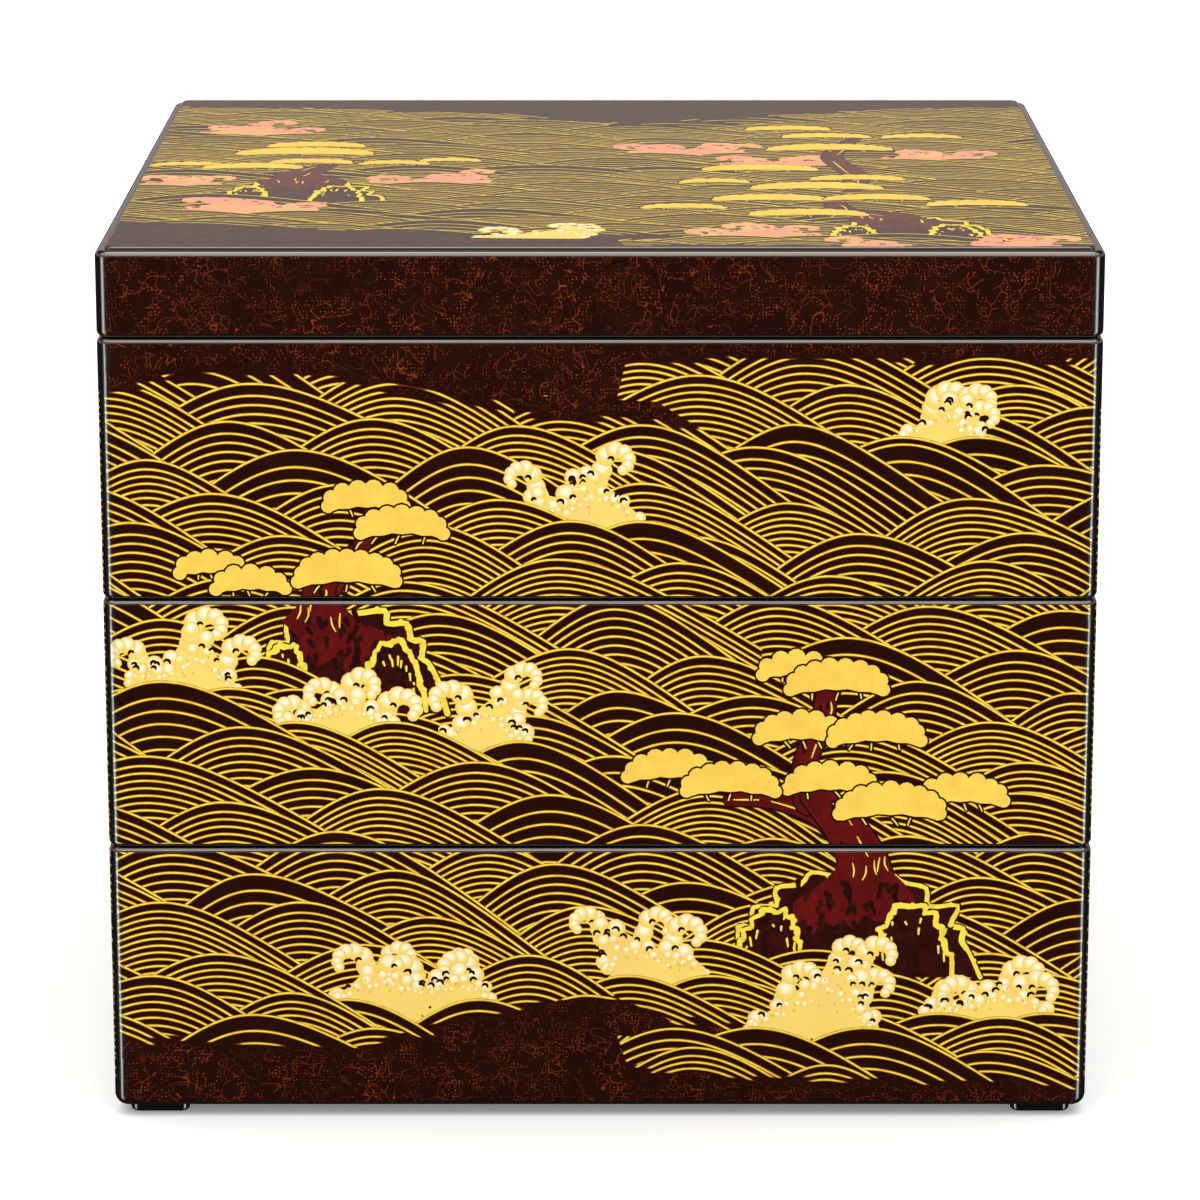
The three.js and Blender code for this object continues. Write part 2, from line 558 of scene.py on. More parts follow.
def smooth_path(points, widths, steps):
    """Points and widths along a curve that passes through the given points."""
    rows = [(*p, w) for p, w in zip(points, widths)]
    path = []
    for k in range(len(rows) - 1):
        a, b, c, d = (rows[min(max(k + j, 0), len(rows) - 1)] for j in (-1, 0, 1, 2))
        for step in range(steps):
            t = step / steps
            path.append(tuple(
                0.5 * (
                    2 * q + (r - p) * t + (2 * p - 5 * q + 4 * r - s) * t * t
                    + (3 * q - p - 3 * r + s) * t**3
                )
                for p, q, r, s in zip(a, b, c, d)
            ))
    path.append(rows[-1])
    return path


def clipped(outline, along, across, start):
    """The part of an outline where along * x + across * y + start is under zero."""
    kept = []
    for (x0, y0), (x1, y1) in zip(outline, outline[1:] + outline[:1]):
        first, second = along * x0 + across * y0 + start, along * x1 + across * y1 + start
        if first < 0:
            kept.append((x0, y0))
        if (first < 0) != (second < 0):
            t = first / (first - second)
            kept.append((x0 + (x1 - x0) * t, y0 + (y1 - y0) * t))
    return kept


# How a swell is drawn: a round crest between two long slopes, and how far it reaches down.
SWELL_STEPS = 12
SWELL_DEPTH = 26
FRINGE = 0.1
BEYOND_CUT = 3.5


def swell(picture, x, y, left, right, steep_left, steep_right, crest, pitch, line, turn, cut):
    """A mound of lines with its crest at x, y. A cut is a point and a heading past which it is bare."""
    cos, sin = math.cos(turn), math.sin(turn)
    upper = []
    for k in range(-SWELL_STEPS, SWELL_STEPS + 1):
        share = k / SWELL_STEPS
        u = math.copysign(abs(share) ** 1.3, share) * (left if k < 0 else right)
        steep = steep_left if u < 0 else steep_right
        reach = math.hypot(u, crest)
        lean = math.hypot(1, steep * u / reach)
        upper.append((u, -steep * (reach - crest) + (line / 2 + FRINGE) * lean))
    foot = min(upper[0][1], upper[-1][1], -SWELL_DEPTH)
    outline = [(right, foot), *reversed(upper), (-left, foot)]
    limit = NO_CUT
    if cut is not None:
        (px, py), heading = cut
        nx, ny = math.cos(heading), math.sin(heading)
        limit = (nx * cos + ny * sin, ny * cos - nx * sin, nx * (x - px) + ny * (y - py))
        outline = clipped(outline, limit[0], limit[1], limit[2] - BEYOND_CUT)
    placed = [(x + u * cos - v * sin, y + u * sin + v * cos) for u, v in outline]
    if len(placed) > 2:
        picture.paint(WAVE, placed, (x, y), 1.0, turn, (steep_left, steep_right, crest), limit, pitch)


def between(points, x):
    """The height at x on a line through points from left to right."""
    if x <= points[0][0]:
        return points[0][1]
    for (x0, y0), (x1, y1) in zip(points, points[1:]):
        if x <= x1:
            return y0 + (y1 - y0) * (x - x0) / (x1 - x0)
    return points[-1][1]


# What lies further right is further back, by this share of the way.
RECEDES = 0.22
PITCHES = (0.84, 0.9, 0.96, 1.04, 1.15, 1.65)


def any_swell(settings, rng, pitch):
    """The values of a swell, picked at random."""
    width = rng.uniform(0.85, 1.2)
    return dict(
        left=24 * width, right=37 * width, steep_left=rng.uniform(0.85, 1.05),
        steep_right=rng.uniform(0.68, 0.85), crest=rng.uniform(11, 15) * width,
        pitch=rng.choice(PITCHES) * pitch * settings.pitch / MM, turn=rng.uniform(-0.05, 0.05),
        line=settings.line / MM,
    )


# How far line ends may stand out past the shore and the beach, and how finely those are drawn.
UNEVEN = 3.5
BAND_STEPS = 64

# How far past the shore line a swell may start and still show the ends of its lines.
OVERHANG = 16

# How far to its left and right a cut looks at the shore or the beach for its slope, and from which height
# on a step in such a line is a jump.
SHORE_SPAN, BEACH_SPAN = (15, 25), (10, 20)
JUMP = 8


def sea(picture, settings, rng, area, figures):
    """Rows of swells from the shore line down to the beach line, with other figures among them.
    The area is the picture's left, right, low and high end."""
    left, right, low, high = area
    row, column = settings.row / MM, settings.column / MM
    shore, beach = figures.shore, figures.beach
    strokes = [(y + RECEDES * x, stroke) for x, y, stroke in figures.paintings]
    y, count = high + 2 * row, 0
    while y > low - row:
        x = left - column * (0.2 + 0.5 * (count % 2)) + rng.uniform(-4, 4)
        while x < right + 0.6 * column:
            crest_y = y + rng.uniform(-2.4, 2.4)
            key = crest_y + RECEDES * x + rng.uniform(-1, 1)
            values = any_swell(settings, rng, figures.pitch)
            strokes.append((key, swell_at(x, crest_y, values, shore, beach)))
            x += column * rng.uniform(0.85, 1.2)
        y -= row
        count += 1
    for _, stroke in sorted(strokes, key=lambda item: -item[0]):
        stroke(picture)
    steps = [left + (right - left) * k / BAND_STEPS for k in range(BAND_STEPS + 1)]
    for line, off, end in ((shore, UNEVEN, high + UNEVEN), (beach, -UNEVEN, low - UNEVEN)):
        band = [(x, line(x) + off) for x in steps]
        if any((y - end) * off < 0 for _, y in band):
            picture.paint(FLECK, [*band, (right, end + 2 * off), (left, end + 2 * off)])


def heading(line, x, span, side):
    """Which way is out past a line near x. Where the line jumps, only its part at x counts."""
    here = line(x)
    ends = [there if abs(there - here) < JUMP else here for there in (line(x - span[0]), line(x + span[1]))]
    return math.atan2(side * sum(span), side * (ends[0] - ends[1]))


def swell_at(x, y, values, shore, beach):
    """A function that paints a swell, cut off where the sea ends."""

    def stroke(picture):
        above = y - shore(x)
        below = beach(x) - y
        if above > OVERHANG or below > 0:
            return
        cut = None
        if above > 0:
            cut = (x, shore(x)), heading(shore, x, SHORE_SPAN, 1)
        elif y - beach(x) < SWELL_DEPTH:
            cut = (x, beach(x)), heading(beach, x, BEACH_SPAN, -1)
        swell(picture, x, y, cut=cut, **values)

    return stroke


def needle_pad(picture, x, y, width, keyline, rng):
    """A cloud of pine needles on a twig: scallops along an arch over a slightly arched underside."""
    height = 0.45 * width
    lobes = max(7, round(width / 2.15))
    circles = []
    for k in range(lobes):
        angle = math.pi * (0.02 + 0.96 * k / (lobes - 1))
        swing = math.sin(angle)
        px = x - 0.42 * width * math.cos(angle) + rng.uniform(-0.2, 0.2)
        py = y + height * (0.14 + 0.52 * swing**0.85) + rng.uniform(-0.15, 0.15)
        circles.append((px, py, 1.35 + 0.5 * swing))
    arch = [(px, py) for px, py, _ in circles]
    under = []
    for k in range(9):
        share = 0.06 + 0.11 * math.sin(math.pi * k / 8)
        under.append((x + width * (0.4 - 0.8 * k / 8), y + height * share + (k % 2) * 0.3))
    for finish, grow in ((SHADE, keyline), (NEEDLE, 0)):
        for px, py, r in circles:
            picture.dot(finish, px, py, r + grow)
        picture.paint(finish, arch + [(px, py - grow) for px, py in under])


def tick(picture, finish, x, y, along, up, widths):
    """A short straight stroke."""
    picture.ribbon(finish, [(x, y), (x + along, y + up)], widths, 2)


def twigs(picture, x, y, width, rng):
    """Short strokes that hang under a needle pad, dark with a little gold."""
    for k in range(3):
        px = x + width * (-0.2 + 0.2 * k) + rng.uniform(-1, 1)
        lean = rng.uniform(-1.4, 1.4)
        points = [(px, y + 1.2), (px + 0.5 * lean, y + 0.5), (px + lean, y - rng.uniform(0.1, 0.5))]
        picture.ribbon(SHADE, points, (1.2, 1.1, 0.8), 3)
        picture.ribbon(GOLD, points, (0.25, 0.3, 0.25), 3)


def trunk(picture, points, widths, rng):
    """A bent, knotty trunk with a few gold veins along it."""
    rough = [w * rng.uniform(0.9, 1.1) for w in widths]
    picture.ribbon(SHADE, points, [w + 0.8 for w in rough], 5)
    picture.ribbon(TRUNK, points, rough, 5)
    for k in range(len(points) - 1):
        (x0, y0), (x1, y1) = points[k], points[k + 1]
        for _ in range(round(widths[k] / 3)):
            side, t = widths[k] * rng.uniform(-0.3, 0.3), rng.uniform(0.1, 0.6)
            px, py = x0 + (x1 - x0) * t + side, y0 + (y1 - y0) * t
            tick(picture, SHADE, px, py, rng.uniform(-0.7, 0.7), rng.uniform(0.8, 2), (0.5, 0.8))
        side = rng.uniform(-0.25, 0.25) * widths[k]
        ends = [(x0 + (x1 - x0) * t + side, y0 + (y1 - y0) * t) for t in (0.1, 0.75)]
        middle = ((x0 + x1) / 2 + side + rng.uniform(-0.6, 0.6), (y0 + y1) / 2)
        picture.ribbon(GOLD, [ends[0], middle, ends[1]], (0.2, 0.35, 0.2), 4)


# Ledges of a rock from its foot to its top: how far out, and how high.
LEDGES = (
    (1.04, -0.12), (0.95, 0.14), (0.86, 0.26), (0.85, 0.42), (0.76, 0.47), (0.77, 0.64), (0.6, 0.67),
    (0.57, 0.84), (0.4, 0.88), (0.33, 1.0), (0.12, 0.97),
)


def crag(picture, x, y, left, right, height, contour, rng):
    """One rock on a flat foot. Its thick, knobbly gold contour climbs over ledges to a top over x."""
    halves = []
    for reach in (-left, right):
        halves.append([
            (x + reach * (out + rng.uniform(-0.05, 0.05)), y + height * (up + rng.uniform(-0.03, 0.03)))
            for out, up in LEDGES
        ])
    points = halves[0] + halves[1][::-1]
    widths = [contour * rng.uniform(0.7, 1.15) for _ in points]
    path = smooth_path(points, widths, 3)
    picture.ribbon(SHADE, points, [w + 0.6 for w in widths], 3)
    picture.paint(ROCK, [(px, py) for px, py, _ in path])
    for _ in range(round(0.06 * (left + right) * height)):
        px, py = x + rng.uniform(-0.6 * left, 0.6 * right), y + height * rng.uniform(0.05, 0.8)
        tick(picture, SHADE, px, py, rng.uniform(-1, 1), -rng.uniform(0.5, 1.5), (0.6, 1.0))
    picture.ribbon(GOLD, points, widths, 3)
    for px, py, wide in path[1:-1:2]:
        size = wide * rng.uniform(0.42, 0.64)
        picture.dot(GOLD, px + rng.uniform(-0.3, 0.3), py + rng.uniform(-0.3, 0.3), size)
    for px, py in rng.sample(points[2:-2], len(points) // 2):
        near = rng.uniform(0.7, 0.88)
        px, py = x + near * (px - x) + rng.uniform(-0.5, 0.5), y + near * (py - y)
        tick(picture, GOLD, px, py, rng.uniform(-0.3, 0.3), -rng.uniform(0.3, 1.8), (0.5, 0.35))


def crags(picture, x, y, width, height, contour, stems, seed):
    """A tall mass of rock. A trunk widens into its top, and lower rocks stand in front on both sides."""
    rng = random.Random(seed)
    crag(picture, x, y, 0.5 * width, 0.5 * width, height, contour, rng)
    for points, widths in stems:
        trunk(picture, points, widths, rng)
    (neck_x, neck_y), neck = stems[-1][0][1], stems[-1][1][1] / 2
    left, right = x - 0.24 * width, x + 0.24 * width
    flare = [(neck_x - neck, neck_y), (neck_x - neck - 1, y + height + 0.8)]
    flare += [(neck_x - neck - 4, y + 0.88 * height), (left, y + 0.7 * height)]
    for k in range(13):
        share = 0.36 + 0.14 * (k % 2) + rng.uniform(-0.08, 0.14)
        flare.append((left + (right - left) * k / 12, y + height * share))
    flare += [(right, y + 0.72 * height), (neck_x + neck + 4, y + 0.9 * height)]
    flare += [(neck_x + neck + 1.2, y + height + 0.8), (neck_x + neck, neck_y)]
    picture.paint(TRUNK, flare)
    for _ in range(34):
        px, py = rng.uniform(left + 1, right - 1), y + height * rng.uniform(0.3, 0.88)
        shape = [(px, py), (px + rng.uniform(-1, 1), py + rng.uniform(0.8, 2.2))]
        picture.ribbon(rng.choice((ROCK, ROCK, SHADE)), shape, (0.7, 1.2), 2)
    for _ in range(5):
        px, py = neck_x + rng.uniform(-1, 1) * (neck + 2), y + height * rng.uniform(0.75, 1.05)
        middle = (px + rng.uniform(-0.8, 0.8), py + 1.4)
        tip = (middle[0] + rng.uniform(-0.4, 0.4), py + 3)
        picture.ribbon(GOLD, [(px, py), middle, tip], (0.2, 0.34, 0.2), 3)
    for shift, left, right, tall in ((-0.31, 0.16, 0.12, 0.62), (0.22, 0.15, 0.17, 0.67)):
        crag(picture, x + shift * width, y, left * width, right * width, tall * height, contour, rng)


def foam(picture, x, y, width, height, lean, seed, finish=FOAM):
    """Foam thrown up by a swell: a pale mass under rows of round drops, with arms that curl over."""
    rng = random.Random(seed)
    drop = PEARL if finish == FOAM else finish
    swing, wave = rng.uniform(0, 6), rng.uniform(7, 10)

    def crown(t):
        hump = math.sin(math.pi * (0.02 + 0.96 * t)) ** 0.7
        return 0.72 * height * hump * (0.85 + 0.3 * math.sin(wave * t + swing))

    def spot(t, rise):
        return x + (t - 0.5) * width * 0.86 + lean * rise, y + rise

    edge = [spot(k / 20, crown(k / 20)) for k in range(21)]
    picture.paint(finish, [spot(0.1, -1.5), spot(0.5, -9), spot(0.9, -1.5), *reversed(edge)])
    arms = max(2, round(width / 8))
    for k in range(arms):
        t = 0.08 + 0.84 * (k + rng.uniform(0.2, 0.8)) / arms
        way = 1 if (t > 0.5) == (rng.random() < 0.75) else -1
        arm(picture, finish, drop, *spot(t, crown(t) * 0.8), 0.3 * height * rng.uniform(0.6, 1.3), way, rng)
    for share, low, high in ((0.97, 1.3, 2.1), (0.72, 0.9, 1.5), (0.5, 0.4, 0.9)):
        count = round(0.5 * width / high)
        for k in range(count):
            t = (k + rng.uniform(0.2, 0.8)) / count
            rise = crown(t) * (share + rng.uniform(-0.06, 0.06))
            picture.dot(drop, *spot(t, rise), rng.uniform(low, high))
    for _ in range(round(width * 0.6)):
        t = rng.uniform(0.12, 0.88)
        px, py = spot(t, crown(t) * rng.uniform(0.25, 0.8))
        tick(picture, PEARL, px, py, rng.uniform(-0.5, 0.5), rng.uniform(0.3, 0.8), (0.22, 0.3))
    for _ in range(round(width * 0.4)):
        t = rng.uniform(0.03, 0.97)
        comma(picture, *spot(t, crown(t) * rng.uniform(0.72, 1.0)), rng.uniform(0.45, 0.75), rng)
    for _ in range(round(width * 0.3)):
        t = rng.uniform(0.1, 0.9)
        rise = rng.uniform(-1.5, 1.5) - 5 * (0.5 - abs(t - 0.5))
        picture.dot(SHADE, *spot(t, rise), rng.uniform(0.2, 0.35))


def arm(picture, finish, drop, x, y, rise, way, rng):
    """Drops along a stem that rises and curls over, smaller towards the end."""
    angle, radius = math.pi / 2 - 0.3 * way, rng.uniform(1.9, 2.4)
    path = [(x, y), (x + 0.3 * way * rise, y + rise)]
    picture.ribbon(finish, path, (4, 2.8), 3)
    picture.dot(drop, (x + path[1][0]) / 2, y + rise / 2, radius)
    px, py = path[1]
    for _ in range(6):
        picture.dot(drop, px, py, radius)
        angle -= way * rng.uniform(0.55, 0.8)
        radius *= 0.88
        px, py = px + 1.1 * radius * math.cos(angle), py + 1.1 * radius * math.sin(angle)
    comma(picture, path[1][0] + 0.9 * way, path[1][1] - 0.9, 0.6, rng)


def comma(picture, x, y, size, rng):
    """A small dark hook between two drops."""
    way = rng.choice((-1, 1))
    points = [
        (x + way * size * math.cos(angle), y + size * math.sin(angle)) for angle in (2.8, 1.8, 0.8, -0.3)
    ]
    picture.ribbon(SHADE, points, (0.3, 0.55, 0.6, 0.3), 3)


class Shore:
    """What stands in a sea, each with its place and the function that paints it, and where the sea ends."""

    def __init__(self, settings, seed, shore, beach, pitch=1.0):
        self.settings, self.rng, self.pitch = settings, random.Random(seed), pitch
        self.shore, self.beach = shore, beach
        self.paintings = []

    def stand(self, x, y, stroke):
        self.paintings.append((x, y, stroke))

    def foam(self, x, y, width, height, lean, seed, finish=FOAM):
        """Foam, and in front of it the swells that break under it."""
        def stroke(picture):
            foam(picture, x, y, width, height, lean, seed, finish)
            values = any_swell(self.settings, random.Random(seed), self.pitch)
            for shift in (0.36, -0.34):
                swell_at(x + shift * width, y + 1, values, self.shore, self.beach)(picture)
        self.stand(x, y + 2, stroke)

    def crags(self, x, y, width, height, seed, *stems):
        contour = self.settings.contour / MM
        self.stand(x, y + 6, lambda picture: crags(picture, x, y, width, height, contour, stems, seed))


def pads(picture, settings, places, rng):
    for x, y, width in places:
        twigs(picture, x, y, width, rng)
        needle_pad(picture, x, y, width, settings.keyline / MM, rng)


def front_picture(settings, area):
    """Two pines on rocks, one at the left over two tiers and one at the right, in a rough sea."""
    picture = Picture()
    left_shore = ((-98, 151), (-84, 154), (-60, 154.5), (-42, 152), (-20, 147), (6, 144))
    left_beach = ((-97, 16), (-53, 13), (-30, 20), (-10, 24), (1, 23.5), (6, 20))
    right_beach = ((6, 13), (10, 9), (40, 7.5), (97, 5.5))
    figures = Shore(
        settings, settings.seed + 1,
        lambda x: between(left_shore, x) if x < 6 else 157,
        lambda x: between(left_beach, x) if x < 6 else between(right_beach, x),
    )
    for place in (
        (-2, 123, 27, 16, -0.5, 3), (66, 140, 21, 12, 0.6, 5), (-83, 89, 27, 17, 0.0, 8),
        (-52, 82, 28, 9, 0.1, 12), (-25, 78, 24, 15, 0.6, 17), (-38, 24, 38, 13, 0.2, 23),
        (13, 29, 24, 19, -0.7, 31), (42, 18, 32, 20, 0.5, 37), (78, 21, 31, 11, 0.0, 41),
    ):
        figures.foam(*place)
    figures.crags(
        -50, 87, 39, 19, 51,
        ([(-53, 111), (-49, 117), (-45, 122), (-45, 127)], (4, 3, 3, 2.5)),
        ([(-54.5, 104), (-55.5, 108), (-55, 111), (-52.5, 115)], (10, 7, 6, 4)),
    )
    figures.crags(
        51, 32, 51, 19.5, 57,
        ([(26, 67), (34, 67), (43, 64), (48, 59)], (2.5, 3.5, 4, 4)),
        ([(42, 67), (41, 75), (44, 82), (45, 89)], (6, 5, 4.5, 4)),
        ([(53, 49), (52.5, 54.5), (49, 61), (43, 68)], (12, 9, 8, 6.5)),
    )
    sea(picture, settings, random.Random(settings.seed), area, figures)
    places = (
        (-46, 125.5, 18), (-39, 120, 19.5), (-77, 112.5, 14.5), (-69, 109, 16), (-50, 110, 23),
        (39, 91.5, 16), (47, 88, 22), (40, 78, 20), (55, 77.5, 21), (46, 67.5, 20), (14, 70, 20),
        (26, 67, 21), (72, 65, 20), (58, 62, 24),
    )
    pads(picture, settings, places, figures.rng)
    return picture


# The lines on the lid are this much further apart.
LID_PITCH = 1.35


def lid_picture(settings, area):
    """Two pines on rocks among pink foam, seen from the front."""
    picture = Picture()
    figures = Shore(
        settings, settings.seed + 2,
        lambda x: 58 + 28 * abs(math.sin((x - 8) / 56)) if abs(x - 8) < 88 else 86,
        lambda x: -76 - 8 * math.sin((x + 60) / 34) if x < 4 else -96,
        LID_PITCH,
    )
    for place in (
        (-88, -24, 19, 15, 0.1, 61), (-72, -56, 33, 18, 0.2, 62), (-36, -22, 30, 17, 0.4, 63),
        (-76, 45, 30, 17, -0.2, 64), (19, 18, 29, 16, 0.0, 66), (38, 1, 28, 14, 0.1, 67),
        (71, 10, 25, 13, 0.2, 68), (32, -85, 27, 14, 0.0, 69), (54, -99, 16, 12, 0.0, 70),
        (81, -97, 20, 17, 0.1, 71),
    ):
        figures.foam(*place, BLUSH)
    figures.foam(-15, -88, 27, 20, 0.7, 65)
    figures.crags(-62, -42, 34, 26, 73, ([(-60, -20), (-64, -13), (-62, -6), (-58, 2)], (13, 9, 7, 4)))
    figures.crags(
        62, -88, 36, 24, 79,
        ([(52, -30), (54, -12), (50, 14), (56, 38)], (4, 5, 4, 3)),
        ([(60, -68), (58, -62), (50, -56), (48, -46)], (14, 10, 7, 4)),
    )

    sea(picture, settings, random.Random(settings.seed + 3), area, figures)
    places = (
        (-62, 26, 23), (-64, 15, 33), (-62, 4, 19), (-88, 1, 16), (-74, -3, 23), (-44, 3, 15), (-32, 7, 13),
        (42, 50, 20), (50, 39, 21), (71, 39, 18), (50, 21, 30), (34, -6, 27), (24, -21, 15), (54, -18, 21),
        (45, -30, 30), (17, -53, 18), (35, -44, 26), (57, -43, 23), (77, -50, 22), (42, -62, 26),
    )
    pads(picture, settings, places, figures.rng)
    return picture


def side_picture(settings, area, number):
    """A plainer side: the sea with a few crests of foam, between two bare bands."""
    picture = Picture()
    rng = random.Random(settings.seed + 10 * number)
    phase = 2.1 * number
    figures = Shore(
        settings, number,
        lambda x: 152 + 4 * math.sin(x / 31 + phase),
        lambda x: 11 + 5 * math.sin(x / 27 + 1.3 * phase),
    )
    for k in range(5):
        x = -72 + 36 * k + rng.uniform(-9, 9)
        y = (128, 46, 92, 30, 112)[(k + number) % 5] + rng.uniform(-4, 4)
        width, height, lean = rng.uniform(20, 30), rng.uniform(11, 16), rng.uniform(-0.5, 0.5)
        figures.foam(x, y, width, height, lean, 100 * number + k)
    sea(picture, settings, rng, area, figures)
    return picture


def start_block(name, low, high):
    """A new block between two corners. It alone is selected."""
    if bpy.context.mode != "OBJECT":
        bpy.ops.object.mode_set(mode="OBJECT")
    bpy.ops.object.select_all(action="DESELECT")
    low, high = Vector(low), Vector(high)
    bpy.ops.mesh.primitive_cube_add(size=1, location=(low + high) / 2)
    block = bpy.context.active_object
    block.name = block.data.name = name
    block.scale = high - low
    bpy.ops.object.transform_apply(location=True, rotation=False, scale=True)
    return block


def bevel_where(block, chosen, radius, segments):
    """Rounds the edges whose two ends pass the test."""
    bpy.ops.object.mode_set(mode="EDIT")
    bpy.ops.mesh.select_mode(type="EDGE")
    bpy.ops.mesh.select_all(action="DESELECT")
    shape = bmesh.from_edit_mesh(block.data)
    for edge in shape.edges:
        edge.select_set(chosen(edge.verts[0].co, edge.verts[1].co))
    bmesh.update_edit_mesh(block.data)
    bpy.ops.mesh.bevel(offset=radius, segments=segments, profile=0.5, affect="EDGES", clamp_overlap=False)
    bpy.ops.object.mode_set(mode="OBJECT")


def soft_block(
    name, low, high, corner, upper=0.0, lower=0.0, corner_steps=CORNER_STEPS, edge_steps=EDGE_STEPS,
):
    """A block with round upright corners, and round upper and lower edges where a radius is given."""
    block = start_block(name, low, high)
    near = 1e-6
    bevel_where(block, lambda a, b: abs(a.x - b.x) < near and abs(a.y - b.y) < near, corner, corner_steps)
    for radius, height in ((upper, high[2]), (lower, low[2])):
        if radius:
            bevel_where(
                block, lambda a, b, z=height: abs(a.z - z) < near and abs(b.z - z) < near,
                radius, edge_steps,
            )
    return block


def combine(block, tool, operation):
    """Cuts the block with the tool, or joins the tool to it. The tool is used up."""
    modifier = block.modifiers.new(operation.lower(), "BOOLEAN")
    modifier.operation, modifier.solver, modifier.object = operation, "EXACT", tool
    bpy.context.view_layer.objects.active = block
    bpy.ops.object.modifier_apply(modifier=modifier.name)
    bpy.data.objects.remove(tool)


def square(half, low, high):
    """The corners of a square block about the middle of the box."""
    return (-half, -half, low), (half, half, high)


# How far a cutting block runs past what it cuts.
OVERRUN = 1 * MM

# Hidden corners and edges are divided more coarsely.
INNER_STEPS, SMALL_STEPS = 8, 4


def cut_square(block, half, low, high, corner):
    """Cuts a square hole with round corners about the middle of the box."""
    tool = soft_block("hole", *square(half, low, high), corner, corner_steps=INNER_STEPS)
    combine(block, tool, "DIFFERENCE")


def cut_rebate(block, sizes, half, base):
    """Cuts the step under a piece that takes the lip of the piece below."""
    inside = half - sizes.wall + sizes.lip_thickness + sizes.lip_gap
    corner = sizes.inner_corner + sizes.lip_thickness + sizes.lip_gap
    cut_square(block, inside, base - OVERRUN, base + sizes.lip_height + sizes.lip_gap, corner)


def tier_shell(name, sizes):
    """An open box with a lip on its rim, from the size of its solid. Also gives its base and its rim."""
    low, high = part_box(name)
    half, rim = high[0], high[2] - sizes.lip_height
    is_bottom = name == TIERS[0]
    base = low[2] + (sizes.foot_height if is_bottom else 0)
    under = sizes.bottom_edge if is_bottom else sizes.edge
    block = soft_block(name + "_lacquer", *square(half, base, rim), sizes.corner, sizes.edge, under)
    inside = half - sizes.wall
    lip = soft_block(
        "lip", *square(inside + sizes.lip_thickness, rim - sizes.wall, high[2]),
        sizes.inner_corner + sizes.lip_thickness, sizes.lip_chamfer, 0, INNER_STEPS, 2,
    )
    combine(block, lip, "UNION")
    floor_top = base + sizes.floor
    if is_bottom:
        for x in (-1, 1):
            for y in (-1, 1):
                combine(block, foot_block(sizes, half, x, y, base), "UNION")
    else:
        cut_rebate(block, sizes, half, base)
        floor_top += sizes.lip_height + sizes.lip_gap
    cut_square(block, inside, floor_top, high[2] + OVERRUN, sizes.inner_corner)
    return block, (base, under), (rim, sizes.edge)


def foot_block(sizes, half, along_x, along_y, base):
    x, y = (way * (half - sizes.foot_inset - sizes.foot / 2) for way in (along_x, along_y))
    reach = sizes.foot / 2
    return soft_block(
        "foot", (x - reach, y - reach, 0), (x + reach, y + reach, base + sizes.floor / 2),
        sizes.foot_corner, 0, sizes.foot_edge, INNER_STEPS, SMALL_STEPS,
    )


def lid_shell(sizes):
    """The lid: a shallow cap with a low raised panel, and a step inside that takes the lip."""
    low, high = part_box(LID)
    half, base, top = high[0], low[2], high[2]
    shoulder = top - sizes.panel_rise
    block = soft_block("lid_lacquer", *square(half, base, shoulder), sizes.corner, sizes.edge, sizes.edge)
    panel = soft_block(
        "panel", *square(half - sizes.panel_inset, shoulder - sizes.edge, top), sizes.panel_corner,
        sizes.panel_edge, 0, INNER_STEPS, SMALL_STEPS,
    )
    combine(block, panel, "UNION")
    cut_rebate(block, sizes, half, base)
    cut_square(block, half - sizes.wall, base - OVERRUN, top - sizes.lid_top, sizes.inner_corner)
    return block, (base, sizes.edge), (shoulder, sizes.edge)


Patch = namedtuple("Patch", "ring folds place faces area")


def nearest_vertices(shape):
    """A function that gives the shape's vertex at a place."""
    vertices = list(shape.verts)
    tree = KDTree(len(vertices))
    for number, vertex in enumerate(vertices):
        tree.insert(vertex.co, number)
    tree.balance()

    def vertex_at(place):
        _, number, off = tree.find(place)
        if off > 0.03 * MM:
            raise RuntimeError(f"no vertex of the shell within {off / MM:.3f} mm of {place}")
        return vertices[number]

    return vertex_at


def arc_steps(radius, step, count):
    """Angles of a stretch of an arc and the lengths along it, from its start."""
    return [(step * k, radius * step * k) for k in range(count + 1)]


